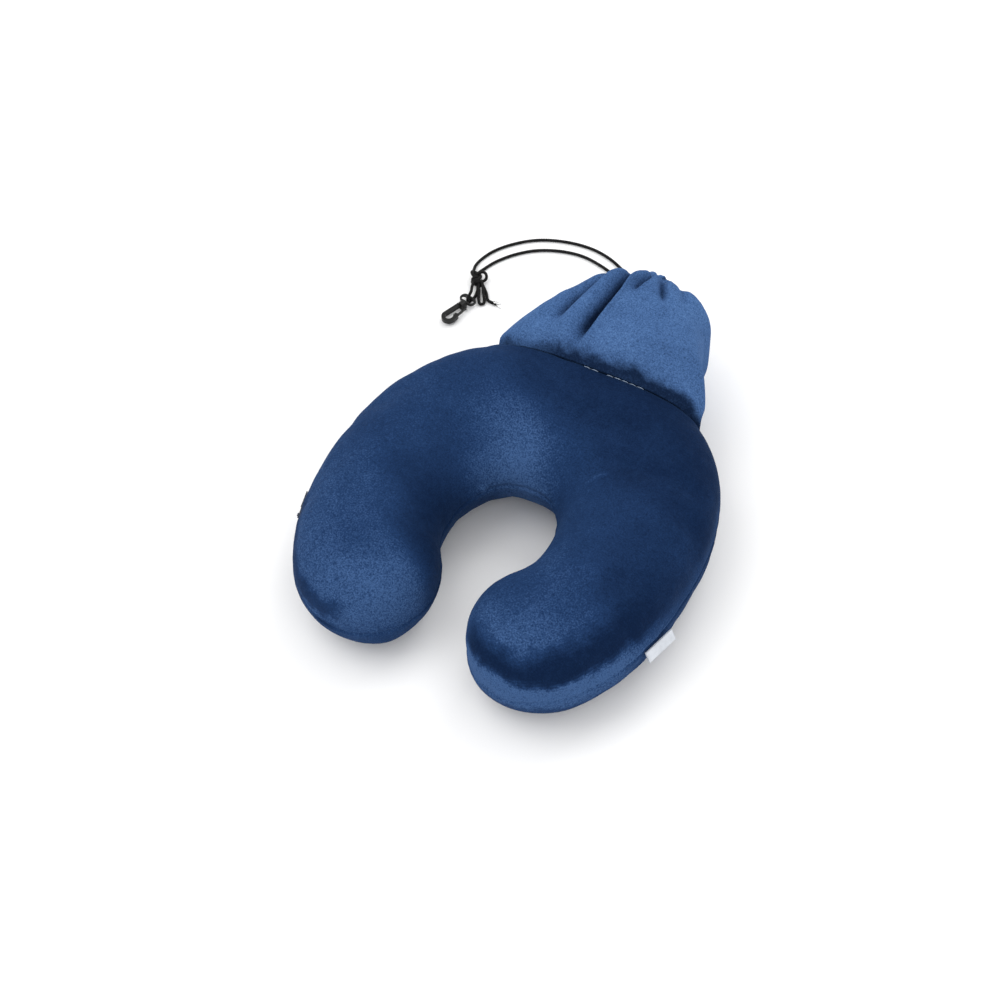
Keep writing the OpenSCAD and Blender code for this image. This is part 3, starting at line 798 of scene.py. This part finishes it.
def nearest_on_line(p, line):
    """Distance in x and y from each point to a polyline, the side it is on, and how far along it is."""
    line = np.asarray(line, float)
    line = catmull(line, np.linspace(0, len(line) - 1, 60))
    d = p[:, None, :2] - line[None]
    far = np.linalg.norm(d, axis=2)
    k = far.argmin(1)
    along = np.gradient(line, axis=0)[k]
    along /= np.linalg.norm(along, axis=1)[:, None]
    off = d[np.arange(len(p)), k]
    return along[:, 0] * off[:, 1] - along[:, 1] * off[:, 0], k / 59


def pouch_folds(p, up):
    """How far the pouch's folds push each point in or out along its normal."""
    move = np.zeros(len(p))
    for line, depth, width, steep in FOLDS:
        across, along = nearest_on_line(p, line)
        u = across / (width * (0.55 + 0.6 * along))
        u = np.where(u > 0, u * steep, u)
        fade = 1 - step(along, 0.6, 1.0)
        valley = -np.exp(-np.abs(u) ** 1.6)
        ridge = 0.24 * (bump(u, 2.1, 1.1) + bump(u, -2.0, 1.1)) * step(along, 0.05, 0.4)
        move += depth * (valley + ridge) * fade * up
    return move


def gathers(f, t, count, seed):
    """Irregular gathers round the mouth, from -1 to 1."""
    rng = np.random.default_rng(seed)
    total = np.zeros(np.broadcast(f, t).shape)
    for _ in range(3):
        n = count + int(rng.integers(-4, 5))
        total += np.cos(n * f + rng.uniform(0, 6.3) + 0.8 * np.sin(3 * f + rng.uniform(0, 6.3)))
    return total / 3


def pouch_nap_and_shade(p, folded):
    """Which way the pile is brushed over the pouch, with painted shade along the seam and in the folds,
    from 0, dark, to 1, light. folded is how far its folds pushed each point.
    """
    nap_and_shade = 0.55 + 0.12 * lattice_noise(p, 40, 31) + 0.07 * lattice_noise(p, 14, 32)
    ragged = 3 * lattice_noise(p, 11, 33) + 1.6 * lattice_noise(p, 4, 34)
    from_seam = p[:, 1] - (SEAM_Y + NECK[1]) + ragged
    # painted shade in the valley where the pouch rises from the seam, on its upper side, wider and darker
    # on the right
    seam_shade_width = 1.5 + 4 * step(p[:, 0], -60, -20)
    seam_shade = 0.30 + 0.30 * step(p[:, 0], -66, -30)
    nap_and_shade -= seam_shade * (1 - step(from_seam, seam_shade_width - 4, seam_shade_width + 4)) * up_side(p)
    # painted shade in the valleys of the folds
    nap_and_shade -= 0.075 * np.clip(-folded - 1.5, 0, 9)
    return np.clip(nap_and_shade, 0, 1)


def make_pouch(material):
    rows, around = POUCH_ROWS, POUCH_SIDES
    f = np.linspace(0, 2 * np.pi, around, endpoint=False)
    t = np.linspace(0, len(POUCH_TOP) - 1, rows)
    T, F = np.meshgrid(t, f, indexing="ij")
    body = pouch_point(T.ravel(), F.ravel())
    # the hem carries on from the bag, in to the inside of the mouth
    hem_t = np.linspace(0, len(HEM) - 1, 44)[1:]
    hem = catmull(HEM, hem_t)
    R, G = np.meshgrid(hem[:, 0], f, indexing="ij")
    Y, _ = np.meshgrid(hem[:, 1], f, indexing="ij")
    ring = MOUTH + np.stack([R * np.cos(G), Y, R * np.sin(G)], -1).reshape(-1, 3)
    points = np.concatenate([body, ring])
    total_rows = rows + len(hem_t)
    pouch = mesh_object("pouch_velour_bag", points, grid_faces(total_rows, around))
    out = normals(pouch)
    tt = np.concatenate([T.ravel(), 6 + np.repeat(hem_t, around) / 4])
    ff = np.concatenate([F.ravel(), G.ravel()])
    if out[np.argmax(points[:, 2]), 2] < 0:
        out = -out
        pouch.data.flip_normals()
    up = step(out[:, 2], 0.0, 0.6) * step(points[:, 1], 84, 94)
    move = pouch_folds(points, up * (tt < 6.0))
    near = step(tt, 4.6, 5.8)
    calm = 1 - 0.6 * step(np.cos(ff), 0.1, 0.5)
    frill = 1.7 * gathers(ff, tt, 14, 1) + 0.6 * gathers(ff, tt, 33, 2)
    move += near * calm * frill * np.where(tt > 6, 0.75, 1.0)
    move += step(tt, 0.3, 1.5) * (1.2 * lattice_noise(points, 34, 21) + 0.4 * lattice_noise(points, 12, 22))
    p = points + out * move[:, None]
    # the edge that is sewn to the pillow goes under the pillow's surface
    tucked = 1 - step(tt, 0, 0.16)
    p[:, 1] -= 3.0 * tucked
    p[:, 2] -= (3.5 + 8 * np.cos(ff) ** 8) * tucked
    p[:, 2] = np.maximum(p[:, 2], 0.0)
    set_coords(pouch, p)
    set_attribute(pouch, "nap_and_shade", pouch_nap_and_shade(p, pouch_folds(points, up)))
    pouch.data.materials.append(material)
    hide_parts("pouch_upper", "pouch_lower", "pouch_hem")
    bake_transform(pouch)
    return pouch


def up_side(p):
    return step(p[:, 2], 30, 60)


# Where the thread of the pouch's seam lies on top of the pile; elsewhere the pile hides it
STITCHES_SHOWN = ((-11, 0), (9, 42))
STITCH_STEP, STITCH_LENGTH, STITCH_R = 6.4, 5.6, 0.27
STITCH_ARCH, STITCH_HIDDEN = np.array((0.0, 0.5, 0.6, 0.5, 0.0)), 1.8
TAPE_RINGS, TAPE_UNDER = 81, 3.4


def make_seam_parts(pillow, materials):
    """The stitches along the pouch's seam, and the tape under them."""
    surface = BVHTree.FromPolygons(
        [v.co for v in pillow.data.vertices], [f.vertices for f in pillow.data.polygons])

    def on_cover(x, lift):
        y = SEAM_Y + NECK[1] - 1.2
        hit = surface.ray_cast(Vector((x, y, 200)) * MM, Vector((0, 0, -1)))[0]
        return np.array((x, y, hit.z / MM + lift))

    stitches = []
    for x in np.arange(-78, 80, STITCH_STEP):
        shown = any(a <= x <= b for a, b in STITCHES_SHOWN)
        lift = STITCH_ARCH - (0.0 if shown else STITCH_HIDDEN)
        line = np.array([on_cover(x + STITCH_LENGTH * k / 4, lift[k]) for k in range(5)])
        stitches.append(tube_mesh(line, lambda a, s: np.full(len(a), STITCH_R), 8))
    thread = mesh_object("pouch_seam_thread", *joined(stitches))
    thread.data.materials.append(materials["thread"])
    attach(thread, "pillow")
    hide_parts("pouch_stitching")
    rings = []
    for x in np.linspace(-80, 80, TAPE_RINGS):
        p = on_cover(x, -TAPE_UNDER)
        rings.append([p + (0, dy, dz) for dy, dz in ((-2, 0), (2, 0), (2, 0.9), (-2, 0.9))])
    faces = grid_faces(TAPE_RINGS, 4) + end_caps(4 * TAPE_RINGS, 4)
    tape = mesh_object("pouch_seam_tape", np.concatenate(rings), faces, smooth=False)
    tape.data.materials.append(materials["tape"])
    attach(tape, "pillow")
    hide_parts("pouch_binding")


# ---------- floor and light ----------
def make_stage():
    bpy.ops.mesh.primitive_circle_add(vertices=96, radius=5, fill_type="NGON", location=(0, 0, 0))
    floor = bpy.context.object
    floor.name = "floor"
    n = Nodes("floor")
    floor.data.materials.append(n.finish((0.93, 0.93, 0.93, 1), 0.9))
    world = bpy.data.worlds.new("world")
    scene.world = world
    world.use_nodes = True
    world.node_tree.nodes["Background"].inputs[0].default_value = (1, 1, 1, 1)
    world.node_tree.nodes["Background"].inputs[1].default_value = 0.95
    for name, place, size, power, colour in (
        ("key", (-1.0, -0.5, 2.0), 1.8, 15, (1.0, 1.0, 1.0)),
        ("fill", (1.2, -1.2, 1.6), 1.6, 9, (1.0, 1.0, 1.0)),
        ("rim", (0.3, 1.6, 1.8), 1.2, 12, (1.0, 1.0, 1.0)),
    ):
        light = bpy.data.lights.new(name, "AREA")
        light.size, light.energy, light.color = size, power, colour
        o = bpy.data.objects.new(name, light)
        o.location = place
        o.rotation_euler = (Vector((0, 0, 0.04)) - Vector(place)).to_track_quat("-Z", "Y").to_euler()
        scene.collection.objects.link(o)
    scene.view_settings.view_transform = "Standard"


# ---------- the CAD nodes that stay ----------
def dress_nodes(materials):
    for node, material in (
        ("side_label", "label"), ("care_label", "label"),
        ("zip_tape_upper", "tape"), ("zip_tape_lower", "tape"), ("zip_teeth_upper", "teeth"),
        ("zip_teeth_lower", "teeth"), ("zip_end_stops", "teeth"), ("zip_slider", "metal"),
        ("zip_pull", "metal"),
        ("drawstring_in_hem", "cord"), ("swivel_eye", "plastic"), ("snap_hook", "plastic"),
        ("hook_gate", "plastic"),
    ):
        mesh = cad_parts[node].data
        mesh.materials.clear()
        mesh.materials.append(materials[material])


make_camera()
materials = make_materials()
make_cords(materials["cord"])
make_filling(materials)
pillow_cover = make_pillow(materials["velour"])
make_seam_parts(pillow_cover, materials)
make_pouch(materials["pouch_velour"])
dress_nodes(materials)
make_stage()
